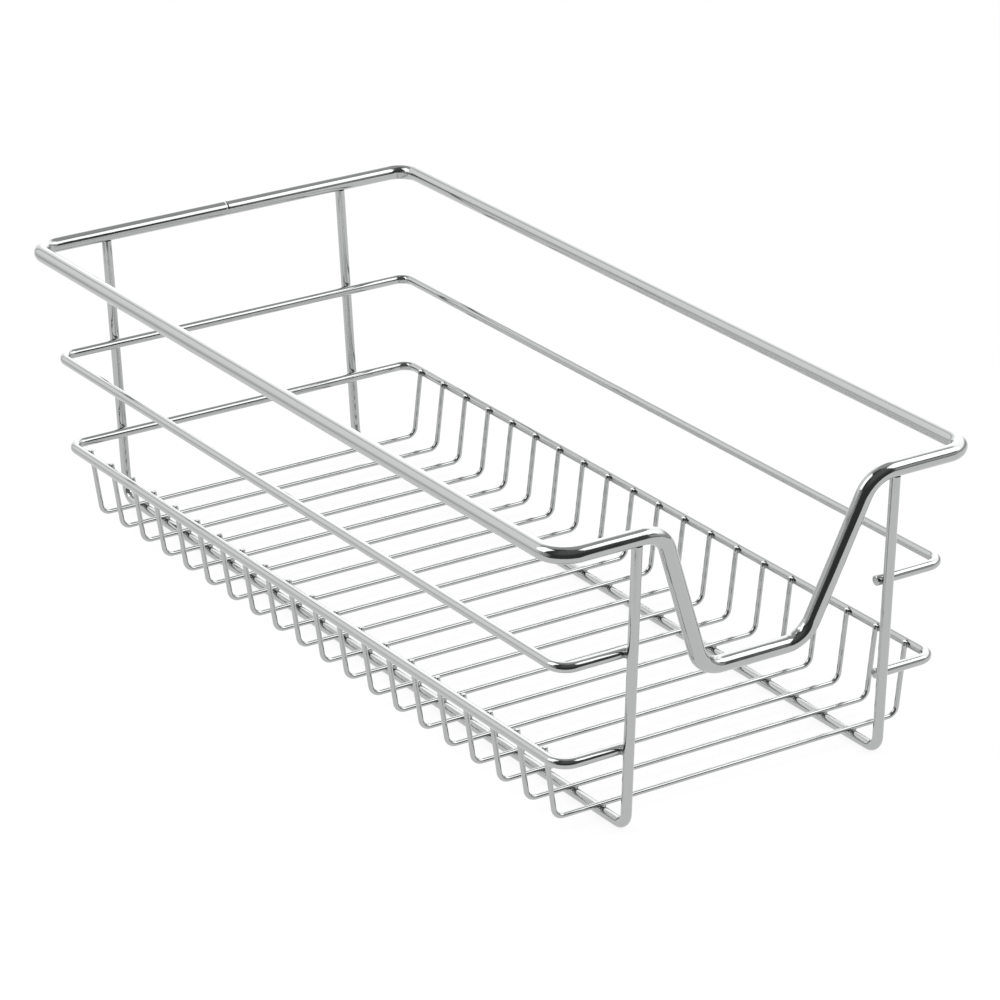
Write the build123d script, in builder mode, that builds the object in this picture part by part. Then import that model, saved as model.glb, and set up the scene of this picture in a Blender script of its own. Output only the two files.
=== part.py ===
"""Pull-out wire basket for a kitchen base cabinet.

The basket is bent from round steel wire and resistance-welded.  A thick closed rim carries it and
dips at the front into a handle.  Two U-shaped long frames hang under the rim, and their legs lean
inwards towards the floor.  Two rings, open behind the handle, tie the legs together.  Thin floor
wires lie across the long frames, with both ends bent up and welded inside the lower ring.

Millimetres.  +Z is up, -Y is the front with the handle, +X is to the right when facing +Y.
The origin is on the surface that the basket stands on, under the middle of the rim.
"""

import os
from math import radians, tan

from build123d import *

os.makedirs("parts", exist_ok=True)

# ---- driving dimensions

basket_width = 230.0  # outside of the rim, along X
basket_depth = 490.0  # outside of the rim, along Y
basket_height = 149.0  # from the surface it stands on to the top of the rim

rim_wire = 8.0  # wire diameters
frame_wire = 5.0
ring_wire = 5.0
floor_wire = 2.5
weld_sink = 0.3  # how far a weld presses two crossing wires into each other

rim_corner_bend = 12.0  # bend radii, at the middle of the wire
handle_bend = 15.0
frame_bend = 7.0
ring_bend = 8.0
floor_bend = 5.0

handle_top_width = 113.0  # between the corners where the dip leaves the rim
handle_low_width = 56.0  # between the corners of the low bar
handle_drop = 77.0  # from the rim down to the low bar
handle_setback = 11.0  # from the front of the rim back to the low bar

leg_margin = 2.5  # from the end of the handle's bend to the middle of the leg beside it
leg_lean = 10.0  # how far the foot of a leg stands in from its top

middle_ring_height = 88.0  # from the surface the basket stands on
middle_ring_inset = 7.0  # from the rim's long sides in to the ring's
middle_ring_left_tail = 1.5  # from the front leg to the cut end beyond it
middle_ring_right_tail = 3.7
lower_ring_height = 40.0
lower_ring_inset = 8.5
lower_ring_left_tail = 1.5
lower_ring_right_tail = 1.0

floor_wire_count = 20
floor_end_margin = 9.0  # from the lower ring's corner bends to the nearest floor wires
floor_flare = 4.6  # how far the bent-up ends lean out before they meet the ring
floor_tip = 2.0  # how far the cut ends stand above the middle of the ring

# ---- derived places, on the middle of each wire

rim_x = (basket_width - rim_wire) / 2
rim_y = (basket_depth - rim_wire) / 2
rim_z = basket_height - rim_wire / 2

handle_top_x = handle_top_width / 2
handle_low_x = handle_low_width / 2
handle_low_y = handle_setback - rim_y
handle_low_z = rim_z - handle_drop
handle_arm = Vector(handle_top_x - handle_low_x, -handle_setback, handle_drop)
handle_turn = Vector(1, 0, 0).get_angle(handle_arm)
handle_end_x = handle_top_x + handle_bend * tan(radians(handle_turn / 2))

leg_x = handle_end_x + leg_margin
leg_top_z = rim_z - rim_wire / 2 + weld_sink
base_z = frame_wire / 2

floor_z = frame_wire + floor_wire / 2 - weld_sink


def leg_y(height):
    """Distance of a leaning leg from the middle of the basket, at a height."""
    return rim_y - leg_lean * (rim_z - height) / (rim_z - base_z)


def ring_y(height):
    """Distance of a ring's bar from the middle of the basket, inside the legs at a height."""
    return leg_y(height) - (frame_wire + ring_wire) / 2 + weld_sink


# ---- wire shapes


def sweep_wire(points, bend_radii, diameter, closed=False):
    """Sweep round wire along straight runs joined by tangent bends."""
    with BuildLine() as middle:
        FilletPolyline(*points, radius=bend_radii, close=closed)
    with BuildSketch(middle.line ^ 0) as section:
        Circle(diameter / 2)
    sweep(section.sketch, path=middle.line)


def sweep_ring(inset, height, left_tail, right_tail):
    """Sweep a ring that runs round three sides and ends just past the front legs."""
    side_x = rim_x - inset
    bar_y = ring_y(height)
    ring_points = [
        (left_tail - leg_x, -bar_y, height),
        (-side_x, -bar_y, height),
        (-side_x, bar_y, height),
        (side_x, bar_y, height),
        (side_x, -bar_y, height),
        (leg_x - right_tail, -bar_y, height),
    ]
    sweep_wire(ring_points, ring_bend, ring_wire)


def finish(wire, name):
    """Name a finished wire and write it."""
    wire.part.label = name
    export_step(wire.part, f"parts/{name}.step")


# ---- rim, with the handle dipped into its front

rim_points = [
    (rim_x, rim_y, rim_z),
    (rim_x, -rim_y, rim_z),
    (handle_top_x, -rim_y, rim_z),
    (handle_low_x, handle_low_y, handle_low_z),
    (-handle_low_x, handle_low_y, handle_low_z),
    (-handle_top_x, -rim_y, rim_z),
    (-rim_x, -rim_y, rim_z),
    (-rim_x, rim_y, rim_z),
]
rim_bends = 2 * [rim_corner_bend] + 4 * [handle_bend] + 2 * [rim_corner_bend]

with BuildPart() as top_rim:
    sweep_wire(rim_points, rim_bends, rim_wire, closed=True)
finish(top_rim, "top_rim")

# ---- long frames: two legs cut off under the rim, and the straight wire that the basket stands on

long_frames = []
for name, frame_x in (("left_long_frame", -leg_x), ("right_long_frame", leg_x)):
    frame_points = [
        (frame_x, -leg_y(leg_top_z), leg_top_z),
        (frame_x, -leg_y(base_z), base_z),
        (frame_x, leg_y(base_z), base_z),
        (frame_x, leg_y(leg_top_z), leg_top_z),
    ]
    with BuildPart() as long_frame:
        sweep_wire(frame_points, frame_bend, frame_wire)
        add(top_rim.part, mode=Mode.SUBTRACT)
    finish(long_frame, name)
    long_frames.append(long_frame.part)

# ---- rings, welded inside the back legs and behind the front legs

with BuildPart() as middle_ring:
    sweep_ring(middle_ring_inset, middle_ring_height, middle_ring_left_tail, middle_ring_right_tail)
    add(long_frames, mode=Mode.SUBTRACT)
finish(middle_ring, "middle_ring")

with BuildPart() as lower_ring:
    sweep_ring(lower_ring_inset, lower_ring_height, lower_ring_left_tail, lower_ring_right_tail)
    add(long_frames, mode=Mode.SUBTRACT)
finish(lower_ring, "lower_ring")

# ---- floor wires, evenly spaced across the long frames from the back to the front

weld_x = rim_x - lower_ring_inset - (ring_wire + floor_wire) / 2 + weld_sink
corner_x = weld_x - floor_flare
tip_z = lower_ring_height + floor_tip
tip_x = corner_x + floor_flare * (tip_z - floor_z) / (lower_ring_height - floor_z)
first_y = ring_y(lower_ring_height) - ring_bend - floor_end_margin
floor_pitch = 2 * first_y / (floor_wire_count - 1)

for index in range(floor_wire_count):
    wire_y = first_y - index * floor_pitch
    floor_points = [
        (-tip_x, wire_y, tip_z),
        (-corner_x, wire_y, floor_z),
        (corner_x, wire_y, floor_z),
        (tip_x, wire_y, tip_z),
    ]
    with BuildPart() as cross_wire:
        sweep_wire(floor_points, floor_bend, floor_wire)
        add(long_frames, mode=Mode.SUBTRACT)
        add(lower_ring.part, mode=Mode.SUBTRACT)
    finish(cross_wire, f"floor_wire_{index + 1:02d}")
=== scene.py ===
"""Pull-out wire basket, dressed for the picture: bright chrome-plated steel wire on a white table.

Every wire follows its centre line: straight runs joined by tangent bends, rounded in one Geometry
Nodes tree.  The welds, the cut ends and the butt weld of the rim are geometry too.  Sizes are in
millimetres until a mesh is made; one function turns them into metres.
"""

from math import acos, atan, cos, pi, radians, sin, sqrt

import bmesh
import bpy
from mathutils import Matrix, Vector


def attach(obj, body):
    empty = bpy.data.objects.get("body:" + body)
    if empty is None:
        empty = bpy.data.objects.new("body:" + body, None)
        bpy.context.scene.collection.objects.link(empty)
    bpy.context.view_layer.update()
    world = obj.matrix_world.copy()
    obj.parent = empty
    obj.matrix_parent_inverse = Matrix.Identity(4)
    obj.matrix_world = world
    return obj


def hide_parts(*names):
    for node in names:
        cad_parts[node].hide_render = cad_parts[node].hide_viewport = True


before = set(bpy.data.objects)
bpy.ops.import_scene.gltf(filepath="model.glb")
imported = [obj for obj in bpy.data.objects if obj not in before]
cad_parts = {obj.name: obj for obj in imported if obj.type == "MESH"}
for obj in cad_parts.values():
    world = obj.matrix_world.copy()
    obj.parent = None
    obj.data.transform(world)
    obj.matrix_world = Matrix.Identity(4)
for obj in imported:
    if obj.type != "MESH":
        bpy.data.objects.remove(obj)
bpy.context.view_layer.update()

MM = 0.001

# ---------------------------------------------------------------- sizes of the basket, in mm

rim_wire = 8.0
frame_wire = 5.0
ring_wire = 5.0
floor_wire = 2.5
weld_sink = 0.3  # how far a weld presses two crossing wires into each other

rim_x = 111.0
rim_y = 241.0
rim_z = 145.0
rim_corner_bend = 12.0
rim_joint_x = 0.2  # where the two ends of the rim are welded together, in its back side
handle_bend = 15.0
handle_top_x = 56.5
handle_low_x = 28.0
handle_low_y = -230.0
handle_low_z = 68.0

leg_x = 69.48
leg_lean = 10.0  # how far the foot of a leg stands in from its top
base_z = frame_wire / 2
leg_top_z = rim_z - rim_wire / 2 + weld_sink
frame_bend = 7.0

ring_bend = 8.0
middle_ring = {"side_x": 104.0, "height": 88.0, "left_tail": 1.5, "right_tail": 3.7}
lower_ring = {"side_x": 102.5, "height": 40.0, "left_tail": 1.5, "right_tail": 1.0}

floor_count = 20
floor_z = frame_wire + floor_wire / 2 - weld_sink
floor_bend = 5.0
floor_flare = 4.6  # how far the bent-up ends lean out before they meet the lower ring
floor_tip = 2.0  # how far the cut ends stand above the middle of the ring
floor_end_margin = 9.0  # from the ring's corner bends to the nearest floor wires


def leg_y(height):
    """Distance of a leaning leg from the middle of the basket, at a height."""
    return rim_y - leg_lean * (rim_z - height) / (rim_z - base_z)


def ring_y(height):
    """Distance of a ring's bar from the middle of the basket, inside the legs at a height."""
    return leg_y(height) - (frame_wire + ring_wire) / 2 + weld_sink


floor_weld_x = lower_ring["side_x"] - (ring_wire + floor_wire) / 2 + weld_sink
floor_corner_x = floor_weld_x - floor_flare
floor_tip_z = lower_ring["height"] + floor_tip
floor_slope = floor_flare / (lower_ring["height"] - floor_z)
floor_tip_x = floor_corner_x + floor_slope * (floor_tip_z - floor_z)
floor_first_y = ring_y(lower_ring["height"]) - ring_bend - floor_end_margin
floor_pitch = 2 * floor_first_y / (floor_count - 1)

# ---------------------------------------------------------------- node helper


def add_node(tree, kind, inputs=None, **settings):
    """Add one node, set its properties, and link or set its inputs by name or number."""
    node = tree.nodes.new(kind)
    for name, value in settings.items():
        setattr(node, name, value)
    for key, value in (inputs or {}).items():
        socket = node.inputs[key]
        if isinstance(value, bpy.types.NodeSocket):
            tree.links.new(value, socket)
        else:
            socket.default_value = value
    return node


def srgb(code):
    """Turn an sRGB hex colour into a linear RGBA value."""
    channels = [int(code[i:i + 2], 16) / 255 for i in (1, 3, 5)]
    linear = [c / 12.92 if c <= 0.04045 else ((c + 0.055) / 1.055) ** 2.4 for c in channels]
    return (*linear, 1.0)


# ---------------------------------------------------------------- materials


def new_material(name):
    material = bpy.data.materials.new(name)
    material.use_nodes = True
    material.node_tree.nodes.clear()
    return material, material.node_tree


def chrome_plated_wire():
    """Bright decorative chrome on drawn steel wire.

    A hard, slightly grey mirror, so white paper shows in it as light grey.  The drawing die leaves
    faint lengthwise lines under the plating, and a slow waviness bends the reflections a little.
    """
    material, tree = new_material("chrome_plated_steel_wire")
    place = add_node(tree, "ShaderNodeAttribute", attribute_name="wire_space")
    # Die lines, 1.2 mm apart so that they show in the picture, and fifty times as long.
    stretched = add_node(tree, "ShaderNodeMapping", {"Vector": place.outputs["Vector"],
                                                     "Scale": (1.0, 1.0, 0.02)})
    die_lines = add_node(tree, "ShaderNodeTexNoise", {"Vector": stretched.outputs[0],
                                                      "Scale": 1.0 / (1.2 * MM), "Detail": 2.0})
    # Waviness of the drawn wire, 14 mm long.
    waves = add_node(tree, "ShaderNodeTexNoise", {"Vector": place.outputs["Vector"],
                                                  "Scale": 1.0 / (14.0 * MM), "Detail": 1.0})
    line_bump = add_node(tree, "ShaderNodeBump", {"Height": die_lines.outputs[0], "Strength": 0.18,
                                                  "Distance": 0.1 * MM})
    wave_bump = add_node(tree, "ShaderNodeBump", {"Height": waves.outputs[0], "Strength": 0.4,
                                                  "Distance": 0.3 * MM,
                                                  "Normal": line_bump.outputs[0]})
    shader = add_node(tree, "ShaderNodeBsdfPrincipled", {"Base Color": srgb("#B2B3B3"),
                                                         "Metallic": 1.0, "Roughness": 0.08,
                                                         "Normal": wave_bump.outputs[0]})
    add_node(tree, "ShaderNodeOutputMaterial", {"Surface": shader.outputs[0]})
    return material


def chrome_over_weld():
    """Chrome over melted weld metal.

    The plating is thin in the corner of a joint, so it is darker and duller there, and grains of
    melted metal 0.8 mm wide show through it.
    """
    material, tree = new_material("chrome_over_weld_metal")
    place = add_node(tree, "ShaderNodeTexCoord")
    grain = add_node(tree, "ShaderNodeTexNoise", {"Vector": place.outputs["Object"],
                                                  "Scale": 1.0 / (0.8 * MM), "Detail": 3.0})
    bump = add_node(tree, "ShaderNodeBump", {"Height": grain.outputs[0], "Strength": 0.5,
                                             "Distance": 0.2 * MM})
    shader = add_node(tree, "ShaderNodeBsdfPrincipled", {"Base Color": srgb("#8E8E8E"),
                                                         "Metallic": 1.0, "Roughness": 0.22,
                                                         "Normal": bump.outputs[0]})
    add_node(tree, "ShaderNodeOutputMaterial", {"Surface": shader.outputs[0]})
    return material


wire_chrome = chrome_plated_wire()
weld_chrome = chrome_over_weld()

# ---------------------------------------------------------------- wires


def path_mesh(name, points, closed=False):
    """Lay out a centre line: (x, y, z, bend radius, thickness) for each corner, in mm."""
    mesh = bpy.data.meshes.new(name)
    count = len(points)
    edges = [(i, (i + 1) % count) for i in range(count if closed else count - 1)]
    mesh.from_pydata([Vector(p[:3]) * MM for p in points], edges, [])
    bend = mesh.attributes.new("bend_radius", "FLOAT", "POINT")
    bend.data.foreach_set("value", [p[3] * MM for p in points])
    thickness = mesh.attributes.new("thickness", "FLOAT", "POINT")
    thickness.data.foreach_set("value", [p[4] for p in points])
    return mesh


def wire_tree():
    """Geometry Nodes: round off a centre line, wrap wire round it and repeat it in a row."""
    tree = bpy.data.node_groups.new("bent_wire", "GeometryNodeTree")
    face = tree.interface
    face.new_socket("Geometry", in_out="INPUT", socket_type="NodeSocketGeometry")
    face.new_socket("Wire Diameter", in_out="INPUT", socket_type="NodeSocketFloat")
    face.new_socket("Sides", in_out="INPUT", socket_type="NodeSocketInt")
    face.new_socket("Steps in Bend", in_out="INPUT", socket_type="NodeSocketInt")
    face.new_socket("Step Length", in_out="INPUT", socket_type="NodeSocketFloat")
    face.new_socket("Count", in_out="INPUT", socket_type="NodeSocketInt")
    face.new_socket("Spacing", in_out="INPUT", socket_type="NodeSocketVector")
    face.new_socket("Material", in_out="INPUT", socket_type="NodeSocketMaterial")
    face.new_socket("Geometry", in_out="OUTPUT", socket_type="NodeSocketGeometry")
    given = add_node(tree, "NodeGroupInput").outputs

    # Round the corners of the centre line.
    corners = add_node(tree, "GeometryNodeMeshToCurve", {"Mesh": given["Geometry"]})
    bend = add_node(tree, "GeometryNodeInputNamedAttribute", {"Name": "bend_radius"})
    rounded = add_node(tree, "GeometryNodeFilletCurve",
                       {"Curve": corners.outputs[0], "Count": given["Steps in Bend"],
                        "Radius": bend.outputs[0]}, mode="POLY")

    # Cut the straight runs into short steps, so that the shading is true next to a bend.
    place = add_node(tree, "GeometryNodeInputPosition")
    following = add_node(tree, "GeometryNodeOffsetPointInCurve", {"Offset": 1})
    next_place = add_node(tree, "GeometryNodeFieldAtIndex",
                          {"Index": following.outputs["Point Index"],
                           "Value": place.outputs[0]}, data_type="FLOAT_VECTOR")
    run = add_node(tree, "ShaderNodeVectorMath", {0: place.outputs[0], 1: next_place.outputs[0]},
                   operation="DISTANCE")
    steps = add_node(tree, "ShaderNodeMath", {0: run.outputs["Value"], 1: given["Step Length"]},
                     operation="DIVIDE")
    stepped = add_node(tree, "GeometryNodeSubdivideCurve",
                       {"Curve": rounded.outputs[0], "Cuts": steps.outputs[0]})

    # Remember how far along the wire each place is.
    along = add_node(tree, "GeometryNodeSplineParameter")
    measured = add_node(tree, "GeometryNodeStoreNamedAttribute",
                        {"Geometry": stepped.outputs[0], "Name": "along",
                         "Value": along.outputs["Length"]}, data_type="FLOAT", domain="POINT")

    # Sweep the round section.
    half = add_node(tree, "ShaderNodeMath", {0: given["Wire Diameter"], 1: 0.5},
                    operation="MULTIPLY")
    circle = add_node(tree, "GeometryNodeCurvePrimitiveCircle",
                      {"Resolution": given["Sides"], "Radius": half.outputs[0]})
    section = add_node(tree, "GeometryNodeStoreNamedAttribute",
                       {"Geometry": circle.outputs[0], "Name": "section",
                        "Value": place.outputs[0]}, data_type="FLOAT_VECTOR", domain="POINT")
    thickness = add_node(tree, "GeometryNodeInputNamedAttribute", {"Name": "thickness"})
    wire = add_node(tree, "GeometryNodeCurveToMesh",
                    {"Curve": measured.outputs[0], "Profile Curve": section.outputs[0],
                     "Scale": thickness.outputs[0], "Fill Caps": True})

    # Section place and length together are the coordinates that the finish follows.
    read_section = add_node(tree, "GeometryNodeInputNamedAttribute", {"Name": "section"},
                            data_type="FLOAT_VECTOR")
    read_along = add_node(tree, "GeometryNodeInputNamedAttribute", {"Name": "along"})
    lengthwise = add_node(tree, "ShaderNodeCombineXYZ", {"Z": read_along.outputs[0]})
    wire_space = add_node(tree, "ShaderNodeVectorMath",
                          {0: read_section.outputs[0], 1: lengthwise.outputs[0]}, operation="ADD")
    mapped = add_node(tree, "GeometryNodeStoreNamedAttribute",
                      {"Geometry": wire.outputs[0], "Name": "wire_space",
                       "Value": wire_space.outputs[0]}, data_type="FLOAT_VECTOR", domain="POINT")

    # Repeat the wire in a row.
    row = add_node(tree, "GeometryNodeMeshLine",
                   {"Count": given["Count"], "Offset": given["Spacing"]}, mode="OFFSET")
    repeated = add_node(tree, "GeometryNodeInstanceOnPoints",
                        {"Points": row.outputs[0], "Instance": mapped.outputs[0]})
    real = add_node(tree, "GeometryNodeRealizeInstances", {"Geometry": repeated.outputs[0]})
    finished = add_node(tree, "GeometryNodeSetMaterial",
                        {"Geometry": real.outputs[0], "Material": given["Material"]})
    add_node(tree, "NodeGroupOutput", {"Geometry": finished.outputs[0]})
    return tree


bent_wire = wire_tree()
step_length = 3.0


def run_nodes(name, mesh, tree, values):
    """Run a tree on a mesh and keep the result as a plain mesh object."""
    source = bpy.data.objects.new(name, mesh)
    bpy.context.scene.collection.objects.link(source)
    modifier = source.modifiers.new(tree.name, "NODES")
    modifier.node_group = tree
    for item in tree.interface.items_tree:
        if item.in_out == "INPUT" and item.name in values:
            modifier[item.identifier] = values[item.name]
    source.update_tag()
    graph = bpy.context.evaluated_depsgraph_get()
    result = bpy.data.meshes.new_from_object(source.evaluated_get(graph))
    source.modifiers.remove(modifier)
    source.data = result
    result.name = name
    return source


def make_wire(name, points, diameter, nodes, closed=False, sides=32, steps=20, count=1,
              spacing=(0.0, 0.0, 0.0)):
    """Make one wire, or a row of the same wire, in place of CAD nodes."""
    wire = run_nodes(name, path_mesh(name, points, closed), bent_wire, {
        "Wire Diameter": diameter * MM,
        "Sides": sides,
        "Steps in Bend": steps,
        "Step Length": step_length * MM,
        "Count": count,
        "Spacing": [s * MM for s in spacing],
        "Material": wire_chrome,
    })
    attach(wire, "root")
    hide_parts(*nodes)
    return wire


def cut_ends(points, edge_break):
    """Round off the sharp edge of both cut ends of an open centre line.

    Each step is a share of the rounding's length, in from the cut, and the thickness there.
    """
    profile = [(0, 0.84), (0.3, 0.95), (1, 1)]
    first, last = Vector(points[0][:3]), Vector(points[-1][:3])
    inward = (Vector(points[1][:3]) - first).normalized() * edge_break
    outward = (Vector(points[-2][:3]) - last).normalized() * edge_break
    start = [(*(first + inward * share), 0, thickness) for share, thickness in profile]
    end = [(*(last + outward * share), 0, thickness) for share, thickness in reversed(profile)]
    return start + points[1:-1] + end


def butt_weld(side):
    """Half of the shallow ring left where the butt weld of the rim was ground level.

    Each step is a distance from the weld's middle and the thickness of the wire there.
    """
    profile = [(0.02, 0.955), (0.35, 0.975), (0.75, 0.999), (0.85, 1), (0.95, 1)]
    return [(rim_joint_x + side * off, rim_y, rim_z, 0, thickness)
            for off, thickness in profile[::side]]


rim_corners = [
    *butt_weld(1),
    (rim_x, rim_y, rim_z, rim_corner_bend, 1),
    (rim_x, -rim_y, rim_z, rim_corner_bend, 1),
    (handle_top_x, -rim_y, rim_z, handle_bend, 1),
    (handle_low_x, handle_low_y, handle_low_z, handle_bend, 1),
    (-handle_low_x, handle_low_y, handle_low_z, handle_bend, 1),
    (-handle_top_x, -rim_y, rim_z, handle_bend, 1),
    (-rim_x, -rim_y, rim_z, rim_corner_bend, 1),
    (-rim_x, rim_y, rim_z, rim_corner_bend, 1),
    *butt_weld(-1),
]
rim = make_wire("rim", rim_corners, rim_wire, ["top_rim"], closed=True, sides=40)


def crease_bend(mesh, corner, before, after, bend, wire, creases):
    """Press creases into the inside of a bend, where the wire was crowded together.

    The bend is at corner, between the corners before and after it.  Each crease is an angle along
    the bend from its middle, a depth and a reach.
    """
    corner, before, after = Vector(corner), Vector(before), Vector(after)
    back, on = (before - corner).normalized(), (after - corner).normalized()
    inward = (back + on).normalized()
    centre = corner + inward * bend / sin(back.angle(on) / 2)
    for degrees, depth, reach in creases:
        ray = Matrix.Rotation(radians(degrees), 3, back.cross(on)) @ -inward
        inside = (centre + ray * (bend - wire / 2)) * MM
        middle = (centre + ray * bend) * MM
        for vertex in mesh.vertices:
            off = (vertex.co - inside).length / (reach * MM)
            if off < 1:
                vertex.co += (middle - inside).normalized() * depth * MM * (1 - off * off) ** 2


handle_creases = ((-14, 0.35, 2.2), (3, 0.45, 1.9))
corner_creases = ((-14, 0.5, 3.4),)
crease_bend(rim.data, (handle_low_x, handle_low_y, handle_low_z), (handle_top_x, -rim_y, rim_z),
            (-handle_low_x, handle_low_y, handle_low_z), handle_bend, rim_wire, handle_creases)
for side in (-1, 1):
    crease_bend(rim.data, (side * rim_x, rim_y, rim_z), (side * rim_x, -rim_y, rim_z),
                (-side * rim_x, rim_y, rim_z), rim_corner_bend, rim_wire, corner_creases)

# The tops of the legs stay cut flat: they are welded under the rim.
for side, node in ((-1, "left_long_frame"), (1, "right_long_frame")):
    corners = [
        (side * leg_x, -leg_y(leg_top_z), leg_top_z, 0, 1),
        (side * leg_x, -leg_y(base_z), base_z, frame_bend, 1),
        (side * leg_x, leg_y(base_z), base_z, frame_bend, 1),
        (side * leg_x, leg_y(leg_top_z), leg_top_z, 0, 1),
    ]
    make_wire(node + "_wire", corners, frame_wire, [node])

ring_edge_break, floor_edge_break = 0.5, 0.25
for node, ring in (("middle_ring", middle_ring), ("lower_ring", lower_ring)):
    height, side_x, bar_y = ring["height"], ring["side_x"], ring_y(ring["height"])
    corners = [
        (ring["left_tail"] - leg_x, -bar_y, height, 0, 1),
        (-side_x, -bar_y, height, ring_bend, 1),
        (-side_x, bar_y, height, ring_bend, 1),
        (side_x, bar_y, height, ring_bend, 1),
        (side_x, -bar_y, height, ring_bend, 1),
        (leg_x - ring["right_tail"], -bar_y, height, 0, 1),
    ]
    make_wire(node + "_wire", cut_ends(corners, ring_edge_break), ring_wire, [node])

floor_corners = [
    (-floor_tip_x, floor_first_y, floor_tip_z, 0, 1),
    (-floor_corner_x, floor_first_y, floor_z, floor_bend, 1),
    (floor_corner_x, floor_first_y, floor_z, floor_bend, 1),
    (floor_tip_x, floor_first_y, floor_tip_z, 0, 1),
]
floor_nodes = [f"floor_wire_{index + 1:02d}" for index in range(floor_count)]
make_wire("floor_wires", cut_ends(floor_corners, floor_edge_break), floor_wire, floor_nodes,
          sides=20, steps=12, count=floor_count, spacing=(0, -floor_pitch, 0))

# ---------------------------------------------------------------- welds

# Radius of the hollow side of a collar at each kind of joint, in mm.
floor_to_frame_hollow = 0.5
floor_to_ring_hollow = 0.3
ring_to_leg_hollow = 0.9
doubles_distance = 0.001


def weld_shape(name, thick, thin, sink, radius, half=False):
    """The hollow-sided collar of metal squeezed out where two wires cross at a right angle.

    A ball of the given radius rolls round the joint and touches both wires.  The thick wire runs
    along Y through the origin and the thin one along X above it; half a collar keeps its +Y half.
    """
    thick, thin = thick / 2, thin / 2
    lift = thick + thin - sink
    far = acos((thick - sink - radius) / (thick + radius))
    turns, arc = (9, 3) if half else (16, 3)
    corners, loop = [], []
    for turn in range(turns):
        angle = pi * turn / (turns - 1) if half else 2 * pi * turn / turns
        tilt = far * cos(angle)
        x, z = (thick + radius) * sin(tilt), (thick + radius) * cos(tilt)
        y = sqrt(max((thin + radius) ** 2 - (z - lift) ** 2, 0.0))
        ball = Vector((x, y if sin(angle) >= 0 else -y, z))
        on_thick = Vector((x, 0, z)) * thick / (thick + radius) + Vector((0, ball.y, 0))
        on_thin = Vector((x, 0, lift)) + Vector((0, ball.y, z - lift)) * thin / (thin + radius)
        start, end = (on_thick - ball).normalized(), (on_thin - ball).normalized()
        loop.append(len(corners))
        for step in range(arc + 1):
            corners.append((ball + start.slerp(end, step / arc) * radius) * MM)
    corners.append(Vector((0, 0, thick - sink / 2)) * MM)
    middle = len(corners) - 1
    faces = []
    pairs = list(zip(loop, loop[1:])) if half else list(zip(loop, loop[1:] + loop[:1]))
    for here, there in pairs:
        for step in range(arc):
            faces.append((here + step, there + step, there + step + 1, here + step + 1))
        faces += [(here + arc, there + arc, middle), (there, here, middle)]
    if half:
        faces += [(*range(loop[0], loop[0] + arc + 1), middle),
                  (middle, *reversed(range(loop[-1], loop[-1] + arc + 1)))]
    mesh = bpy.data.meshes.new(name)
    mesh.from_pydata(corners, [], faces)
    shell = bmesh.new()
    shell.from_mesh(mesh)
    bmesh.ops.remove_doubles(shell, verts=shell.verts, dist=doubles_distance * MM)
    bmesh.ops.recalc_face_normals(shell, faces=shell.faces)
    for face in shell.faces:
        face.smooth = True
    shell.to_mesh(mesh)
    shell.free()
    return mesh


def weld_tree():
    """Geometry Nodes: put a weld on every joint, turned as the wires run there."""
    tree = bpy.data.node_groups.new("welds_on_joints", "GeometryNodeTree")
    face = tree.interface
    face.new_socket("Geometry", in_out="INPUT", socket_type="NodeSocketGeometry")
    face.new_socket("Weld Shape", in_out="INPUT", socket_type="NodeSocketObject")
    face.new_socket("Material", in_out="INPUT", socket_type="NodeSocketMaterial")
    face.new_socket("Geometry", in_out="OUTPUT", socket_type="NodeSocketGeometry")
    given = add_node(tree, "NodeGroupInput").outputs
    shape = add_node(tree, "GeometryNodeObjectInfo", {"Object": given["Weld Shape"]})
    turn = add_node(tree, "GeometryNodeInputNamedAttribute", {"Name": "turn"},
                    data_type="FLOAT_VECTOR")
    placed = add_node(tree, "GeometryNodeInstanceOnPoints",
                      {"Points": given["Geometry"], "Instance": shape.outputs["Geometry"],
                       "Rotation": turn.outputs[0]})
    real = add_node(tree, "GeometryNodeRealizeInstances", {"Geometry": placed.outputs[0]})
    finished = add_node(tree, "GeometryNodeSetMaterial",
                        {"Geometry": real.outputs[0], "Material": given["Material"]})
    add_node(tree, "NodeGroupOutput", {"Geometry": finished.outputs[0]})
    return tree


welds_on_joints = weld_tree()


def place_welds(name, mesh, places):
    """Weld joints: (spot on the thick wire's centre line, its run, the way to the thin wire)."""
    joints = bpy.data.meshes.new(name)
    joints.from_pydata([Vector(spot) * MM for spot, run, way in places], [], [])
    turns = []
    for spot, run, way in places:
        y, z = Vector(run).normalized(), Vector(way).normalized()
        turns.extend(Matrix((y.cross(z), y, z)).transposed().to_euler())
    joints.attributes.new("turn", "FLOAT_VECTOR", "POINT").data.foreach_set("vector", turns)
    shape = bpy.data.objects.new(name + "_shape", mesh)
    bpy.context.scene.collection.objects.link(shape)
    welds = run_nodes(name, joints, welds_on_joints, {"Weld Shape": shape,
                                                      "Material": weld_chrome})
    bpy.data.objects.remove(shape)
    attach(welds, "root")


floor_places = [floor_first_y - floor_pitch * index for index in range(floor_count)]
place_welds("floor_to_frame_welds",
            weld_shape("floor_to_frame_weld", frame_wire, floor_wire, weld_sink,
                       floor_to_frame_hollow),
            [((side * leg_x, y, base_z), (0, 1, 0), (0, 0, 1))
             for side in (-1, 1) for y in floor_places])

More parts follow.
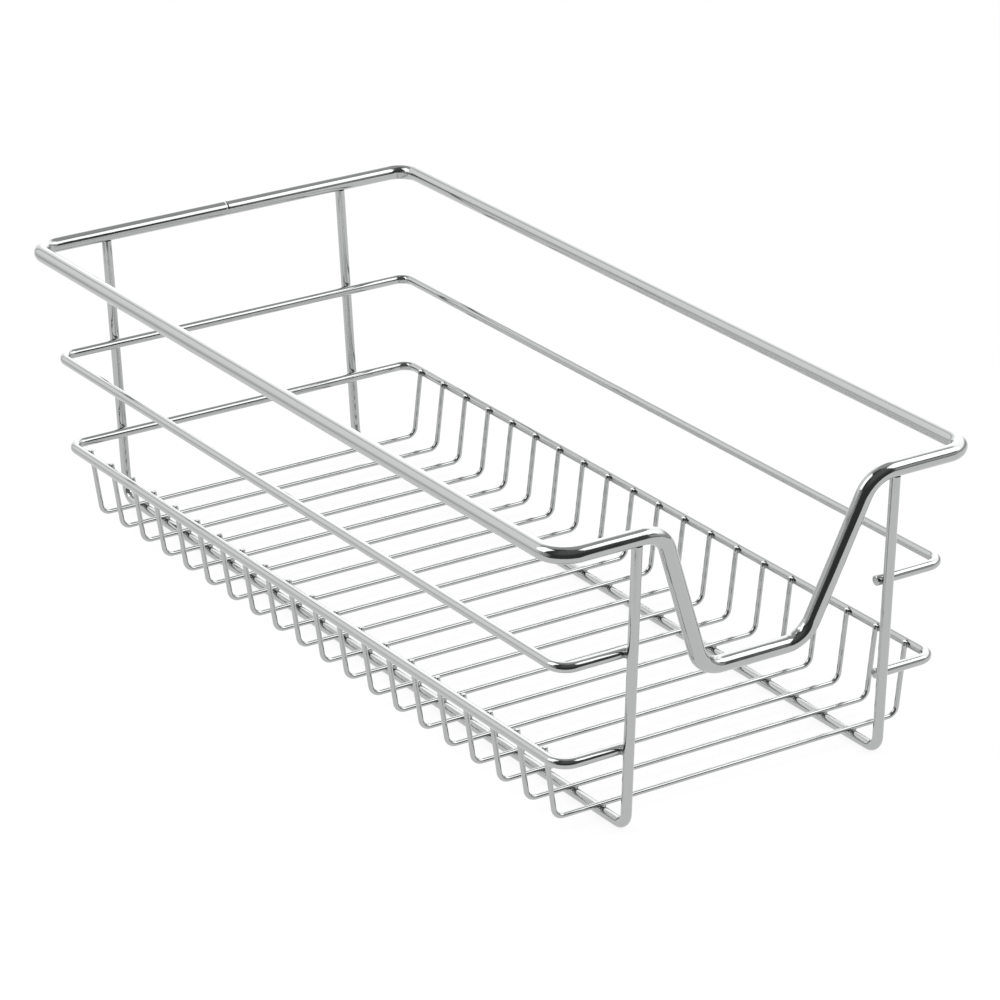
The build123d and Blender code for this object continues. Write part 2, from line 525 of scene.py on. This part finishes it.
# The bent-up ends of the floor wires lean outwards on their way up to the lower ring.
end_lean = atan(floor_slope)
end_sink = (ring_wire + floor_wire) / 2 * (1 - cos(end_lean)) + weld_sink * cos(end_lean)
place_welds("floor_to_ring_welds",
            weld_shape("floor_to_ring_weld", ring_wire, floor_wire, end_sink,
                       floor_to_ring_hollow),
            [((side * lower_ring["side_x"], y, lower_ring["height"]), (0, 1, 0),
              (-side * cos(end_lean), 0, sin(end_lean)))
             for side in (-1, 1) for y in floor_places])

# The legs lean too.  The rings run on past the back legs, and stop just past the front ones.
lean = atan(leg_lean / (rim_z - base_z))
leg_sink = frame_wire * (1 - cos(lean)) + weld_sink * cos(lean)
ring_spots = [(side, ring["height"], ring_y(ring["height"]))
              for ring in (middle_ring, lower_ring) for side in (-1, 1)]
place_welds("ring_to_back_leg_welds",
            weld_shape("ring_to_leg_weld", ring_wire, frame_wire, leg_sink, ring_to_leg_hollow),
            [((side * leg_x, y, height), (1, 0, 0), (0, cos(lean), -sin(lean)))
             for side, height, y in ring_spots])
place_welds("ring_to_front_leg_welds",
            weld_shape("ring_end_to_leg_weld", ring_wire, frame_wire, leg_sink,
                       ring_to_leg_hollow, half=True),
            [((side * leg_x, -y, height), (side, 0, 0), (0, -cos(lean), -sin(lean)))
             for side, height, y in ring_spots])

# ---------------------------------------------------------------- camera

view_azimuth = radians(-32.371)
view_elevation = radians(22.627)
view_roll = radians(-0.917)
view_distance = 2187.4
view_target = Vector((-3.97, -27.95, 73.93))
focal_pixels = 4570.1
frame_pixels = 1000.0

backward = Vector((cos(view_elevation) * sin(view_azimuth),
                   -cos(view_elevation) * cos(view_azimuth),
                   sin(view_elevation)))
level_right = Vector((0, 0, 1)).cross(backward).normalized()
level_up = backward.cross(level_right)
right = cos(view_roll) * level_right + sin(view_roll) * level_up
up = cos(view_roll) * level_up - sin(view_roll) * level_right

lens = bpy.data.cameras.new("camera")
lens.sensor_width = 36.0
lens.lens = lens.sensor_width * focal_pixels / frame_pixels
lens.clip_end = 100.0
camera = bpy.data.objects.new("camera", lens)
turn = Matrix((right, up, backward)).transposed().to_4x4()
camera.matrix_world = Matrix.Translation((view_target + backward * view_distance) * MM) @ turn
bpy.context.scene.collection.objects.link(camera)
bpy.context.scene.camera = camera

# ---------------------------------------------------------------- table

# The table is square to the camera and ends just outside the picture: the wire mirrors the dark
# room beyond its edge.  Metres, from the middle of the basket.
table_front = 0.435
table_back = 1.2
table_left = 0.6
table_right = 2.6
toward_camera = Vector((backward.x, backward.y, 0)).normalized()
sideways = Vector((0, 0, 1)).cross(toward_camera)
table_corners = [toward_camera * along + sideways * across
                 for along, across in ((table_front, -table_left), (table_front, table_right),
                                       (-table_back, table_right), (-table_back, -table_left))]
table_mesh = bpy.data.meshes.new("table")
table_mesh.from_pydata(table_corners, [], [(0, 1, 2, 3)])
table = bpy.data.objects.new("table", table_mesh)
bpy.context.scene.collection.objects.link(table)


def shows_background(tree):
    """One for the rays that show a background: seen directly, mirrored, or through glass."""
    path = add_node(tree, "ShaderNodeLightPath").outputs
    mirrored = add_node(tree, "ShaderNodeMath", {0: path["Is Camera Ray"],
                                                 1: path["Is Glossy Ray"]}, operation="MAXIMUM")
    return add_node(tree, "ShaderNodeMath", {0: mirrored.outputs[0],
                                             1: path["Is Transmission Ray"]},
                    operation="MAXIMUM").outputs[0]


def white_paper():
    """Matt white paper, which throws soft light back up at the wire.

    Where it is seen or mirrored it is just burnt out to the white of the picture and keeps a faint
    shadow: mostly its own even glow, with a little of the real light on it.
    """
    material, tree = new_material("white_paper")
    matt = add_node(tree, "ShaderNodeBsdfDiffuse", {"Color": (0.8, 0.8, 0.8, 1)})
    shade = add_node(tree, "ShaderNodeBsdfDiffuse", {"Color": (0.15, 0.15, 0.15, 1)})
    glow = add_node(tree, "ShaderNodeEmission", {"Color": (1, 1, 1, 1), "Strength": 0.86})
    burnt_out = add_node(tree, "ShaderNodeAddShader", {0: shade.outputs[0], 1: glow.outputs[0]})
    paper = add_node(tree, "ShaderNodeMixShader", {0: shows_background(tree), 1: matt.outputs[0],
                                                   2: burnt_out.outputs[0]})
    add_node(tree, "ShaderNodeOutputMaterial", {"Surface": paper.outputs[0]})
    return material


table_mesh.materials.append(white_paper())

# ---------------------------------------------------------------- studio


def white_world():
    """White behind everything, and an even white light."""
    world = bpy.data.worlds.new("white_studio")
    world.use_nodes = True
    tree = world.node_tree
    tree.nodes.clear()
    even = add_node(tree, "ShaderNodeBackground", {"Color": (1, 1, 1, 1), "Strength": 0.8})
    white = add_node(tree, "ShaderNodeBackground", {"Color": (1, 1, 1, 1), "Strength": 1.0})
    seen = add_node(tree, "ShaderNodeMixShader", {0: shows_background(tree), 1: even.outputs[0],
                                                  2: white.outputs[0]})
    add_node(tree, "ShaderNodeOutputWorld", {"Surface": seen.outputs[0]})
    return world


bpy.context.scene.world = white_world()

# Walls of the studio that the bright wire mirrors: azimuth (0 is in front of the basket, 90 on
# its right), height above the table, how far each reaches to both sides, all in degrees, how soft
# its edges are, and how bright it is next to white.  Each one covers those before it.
room_radius = 3.0
room_foot = -24
room_step = 3
dark_room = 0.06
room_walls = {
    "ceiling": dict(azimuth=120, reach=110, height=80, rise=28, blur=(60, 14), grey=0.55),
    "dim_upper_room": dict(azimuth=-10, reach=50, height=52, rise=26, blur=(40, 30), grey=0.15),
    "left_wall": dict(azimuth=-104, reach=24, height=5, rise=16, blur=(24, 12), grey=0.48),
    "white_back_wall": dict(azimuth=-168, reach=52, height=10, rise=42, blur=(40, 10), grey=1.3),
    "grey_foot_of_back_wall": dict(azimuth=-145, reach=28, height=-14, rise=20, blur=(20, 26),
                                   grey=0.72),
    "gap_in_back_wall": dict(azimuth=-174, reach=4, height=30, rise=30, blur=(5, 10), grey=0.68),
    "right_wall": dict(azimuth=77, reach=46, height=-5, rise=24, blur=(4, 10), grey=0.55),
    "right_wall_foot": dict(azimuth=75, reach=46, height=-18, rise=18, blur=(4, 12), grey=0.22),
    "right_window": dict(azimuth=92, reach=40, height=34, rise=17, blur=(14, 12), grey=2.0),
    "back_window": dict(azimuth=142, reach=22, height=9, rise=37, blur=(28, 14), grey=2.1),
}


def wall_share(azimuth, height, wall):
    """How much of a direction a wall fills: 1 inside it, 0 outside, soft at its edges."""
    off_side = abs((azimuth - wall["azimuth"] + 180) % 360 - 180)
    off_height = abs(height - wall["height"])
    share = 1.0
    for off, reach, blur in ((off_side, wall["reach"], wall["blur"][0]),
                             (off_height, wall["rise"], wall["blur"][1])):
        edge = min(max((reach - off) / blur + 0.5, 0.0), 1.0)
        share *= edge * edge * (3 - 2 * edge)
    return share


def room_level(azimuth, height):
    """Brightness of the room in a direction."""
    level = dark_room
    for wall in room_walls.values():
        share = wall_share(azimuth, height, wall)
        level += (wall["grey"] - level) * share
    return level


def painted_walls():
    """Studio walls that only shine by their own brightness, painted on the mesh."""
    material, tree = new_material("painted_studio_wall")
    level = add_node(tree, "ShaderNodeAttribute", attribute_name="level")
    glow = add_node(tree, "ShaderNodeEmission", {"Strength": level.outputs["Fac"]})
    add_node(tree, "ShaderNodeOutputMaterial", {"Surface": glow.outputs[0]})
    return material


def make_room():
    """A dome round the table, from just under the horizon up; the camera looks in through it."""
    rings = range(room_foot, 91, room_step)
    turns = range(-180, 180, room_step)
    corners, levels, faces = [], [], []
    for height in rings:
        for azimuth in turns:
            corners.append((room_radius * cos(radians(height)) * sin(radians(azimuth)),
                            -room_radius * cos(radians(height)) * cos(radians(azimuth)),
                            room_radius * sin(radians(height))))
            levels.append(room_level(azimuth, height))
    count = len(turns)
    for row in range(len(rings) - 1):
        for column in range(count):
            beside = (column + 1) % count
            faces.append((row * count + column, (row + 1) * count + column,
                          (row + 1) * count + beside, row * count + beside))
    mesh = bpy.data.meshes.new("studio_room")
    mesh.from_pydata(corners, [], faces)
    mesh.attributes.new("level", "FLOAT", "POINT").data.foreach_set("value", levels)
    mesh.materials.append(painted_walls())
    room = bpy.data.objects.new("studio_room", mesh)
    room.visible_camera = False
    room.visible_diffuse = False
    room.visible_shadow = False
    bpy.context.scene.collection.objects.link(room)


make_room()


def soft_box(name, place, aim, width, height, radiance):
    """A rectangular soft box: a lit panel of the given brightness that the wire mirrors."""
    lamp = bpy.data.lights.new(name, "AREA")
    lamp.shape = "RECTANGLE"
    lamp.size, lamp.size_y = width, height
    lamp.energy = radiance * pi * width * height
    box = bpy.data.objects.new(name, lamp)
    box.location = place
    box.rotation_euler = (Vector(place) - Vector(aim)).to_track_quat("Z", "Y").to_euler()
    box.visible_camera = False
    bpy.context.scene.collection.objects.link(box)


basket_middle = (0, 0, 0.1)
box_radiance = 2.3
soft_box("key_soft_box", (0.76, -0.71, 0.98), basket_middle, 0.8, 0.8, box_radiance)
soft_box("left_soft_box", (-0.93, 0.3, 1.08), basket_middle, 0.8, 1.15, box_radiance)

bpy.context.scene.view_settings.view_transform = "Standard"
